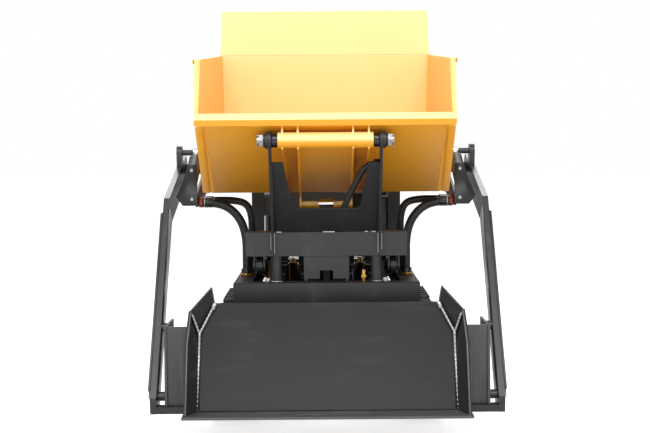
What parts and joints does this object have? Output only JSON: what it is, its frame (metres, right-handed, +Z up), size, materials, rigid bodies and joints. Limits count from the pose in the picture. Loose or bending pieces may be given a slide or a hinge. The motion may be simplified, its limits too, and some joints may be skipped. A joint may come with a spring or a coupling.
{
  "type": "tracked site dumper",
  "caption": "Compact site dumper on rubber tracks with a scissor-lift, forward-tipping skip, a self-loading shovel on two bent arms and a rear engine deck with handlebar.",
  "frame": {"origin": "on the floor under the middle of the machine's length and width", "axes": "-Y is forwards, +Z is up and +X is to the left of an operator who faces forwards"},
  "size_m": [1.144, 1.91, 1.4598],
  "materials": {
    "frame_paint": "satin charcoal powder coat",
    "yellow_paint": "semi-gloss golden yellow paint",
    "track_rubber": "matt moulded rubber",
    "grip_rubber": "soft rubber",
    "hose_rubber": "smooth black hose cover",
    "wheel_steel": "satin black paint worn at the rims",
    "zinc_steel": "bright zinc",
    "rod_chrome": "ground hard chrome",
    "engine_grey": "cast and painted",
    "black_plastic": "moulded"
  },
  "bodies": {
    "chassis": {"track_left": "track_rubber", "track_right": "track_rubber", "track_wheels_left": "wheel_steel", "track_wheels_right": "wheel_steel", "track_frame_left": "frame_paint", "track_frame_right": "frame_paint", "sprockets": "wheel_steel", "undercarriage_crossbars": "frame_paint", "front_base_beam": "frame_paint", "chassis_rail_left": "frame_paint", "chassis_rail_right": "frame_paint", "engine_deck": "frame_paint", "tie_down_eyes": "frame_paint", "gantry_uprights": "frame_paint", "gantry_cross_tube": "frame_paint", "loader_cheeks": "frame_paint", "hose_left": "hose_rubber", "hose_right": "hose_rubber", "engine_block": "engine_grey", "fuel_tank": "black_plastic", "muffler": "engine_grey", "air_cleaner": "black_plastic", "hydraulic_tank": "frame_paint", "control_console": "frame_paint", "control_levers": "black_plastic", "handlebar": "frame_paint", "handlebar_grips": "grip_rubber"},
    "scissor_inner": {"scissor_arms_inner": "frame_paint"},
    "scissor_outer": {"scissor_arms_outer": "frame_paint"},
    "lift_frame": {"lift_crossbeam": "frame_paint", "lift_side_rails": "frame_paint", "lift_cross_tubes": "frame_paint", "tip_cradle": "frame_paint", "skip_posts": "frame_paint", "skip_post_brace": "frame_paint", "skip_pivot_pin": "zinc_steel"},
    "skip": {"skip_tub": "yellow_paint", "skip_headboard": "yellow_paint", "skip_hinge": "yellow_paint", "skip_floor_ribs": "yellow_paint"},
    "tip_barrel": {"tip_barrel": "frame_paint"},
    "tip_stage": {"tip_stage": "rod_chrome"},
    "tip_rod": {"tip_rod": "rod_chrome"},
    "lift_barrels": {"lift_barrels": "frame_paint"},
    "lift_rods": {"lift_rods": "rod_chrome"},
    "loader": {"loader_arm_left": "frame_paint", "loader_arm_right": "frame_paint", "shovel_back": "frame_paint", "shovel_sides": "frame_paint", "cutting_edge": "frame_paint", "loader_cross_tube": "frame_paint", "shovel_ribs": "frame_paint", "loader_wings": "frame_paint"},
    "boom_barrels": {"boom_barrels": "frame_paint"},
    "boom_rods": {"boom_rods": "rod_chrome"}
  },
  "joints": [
    {"name": "scissor_lift", "type": "hinge", "parent": "chassis", "child": "scissor_inner", "pos_m": [0, -0.475, 0.425], "axis": [1, 0, 0], "range_deg": [0, 37.5]},
    {"name": "scissor_cross", "type": "hinge", "parent": "scissor_inner", "child": "scissor_outer", "pos_m": [0, -0.10781, 0.4705], "axis": [1, 0, 0], "range_deg": [-75, 0]},
    {"name": "lift_level", "type": "hinge", "parent": "scissor_outer", "child": "lift_frame", "pos_m": [0, -0.475, 0.516], "axis": [1, 0, 0], "range_deg": [0, 37.5]},
    {"name": "skip_tip", "type": "hinge", "parent": "lift_frame", "child": "skip", "pos_m": [0, -0.705, 0.938], "axis": [1, 0, 0], "range_deg": [0, 70]},
    {"name": "loader_lift", "type": "hinge", "parent": "chassis", "child": "loader", "pos_m": [0, 0.18, 0.83], "axis": [-1, 0, 0], "range_deg": [-4, 120]},
    {"name": "tip_barrel_pin", "type": "hinge", "parent": "lift_frame", "child": "tip_barrel", "pos_m": [0, -0.11, 0.43], "axis": [1, 0, 0], "range_deg": [-23.34, 0]},
    {"name": "tip_stage_slide", "type": "slide", "parent": "tip_barrel", "child": "tip_stage", "axis": [0, -0.697, 0.7171], "range_m": [0, 0.19112]},
    {"name": "tip_rod_slide", "type": "slide", "parent": "tip_stage", "child": "tip_rod", "axis": [0, -0.697, 0.7171], "range_m": [0, 0.19112]},
    {"name": "lift_barrel_pin", "type": "hinge", "parent": "chassis", "child": "lift_barrels", "pos_m": [0, -0.4, 0.23], "axis": [1, 0, 0], "range_deg": [0, 31.76]},
    {"name": "lift_rod_slide", "type": "slide", "parent": "lift_barrels", "child": "lift_rods", "axis": [0, 0.8624, 0.5063], "range_m": [0, 0.12162]},
    {"name": "boom_barrel_pin", "type": "hinge", "parent": "chassis", "child": "boom_barrels", "pos_m": [0, -0.3, 0.735], "axis": [1, 0, 0], "range_deg": [-8.14, 0.27]},
    {"name": "boom_rod_slide", "type": "slide", "parent": "boom_barrels", "child": "boom_rods", "axis": [0, 0.9122, 0.4097], "range_m": [-0.00782, 0.23462]}
  ],
  "couplings": [
    {"joint": "scissor_cross", "follows": "scissor_lift", "ratio": -2},
    {"joint": "lift_level", "follows": "scissor_lift", "ratio": 1},
    {"joint": "lift_barrel_pin", "follows": "scissor_lift", "ratio": 0.84691},
    {"joint": "lift_rod_slide", "follows": "scissor_lift", "m_per_rad": 0.18583},
    {"joint": "tip_barrel_pin", "follows": "skip_tip", "ratio": -0.33343},
    {"joint": "tip_stage_slide", "follows": "skip_tip", "m_per_rad": 0.15643},
    {"joint": "tip_rod_slide", "follows": "skip_tip", "m_per_rad": 0.15643},
    {"joint": "boom_barrel_pin", "follows": "loader_lift", "ratio": -0.067842},
    {"joint": "boom_rod_slide", "follows": "loader_lift", "m_per_rad": 0.11202}
  ]
}
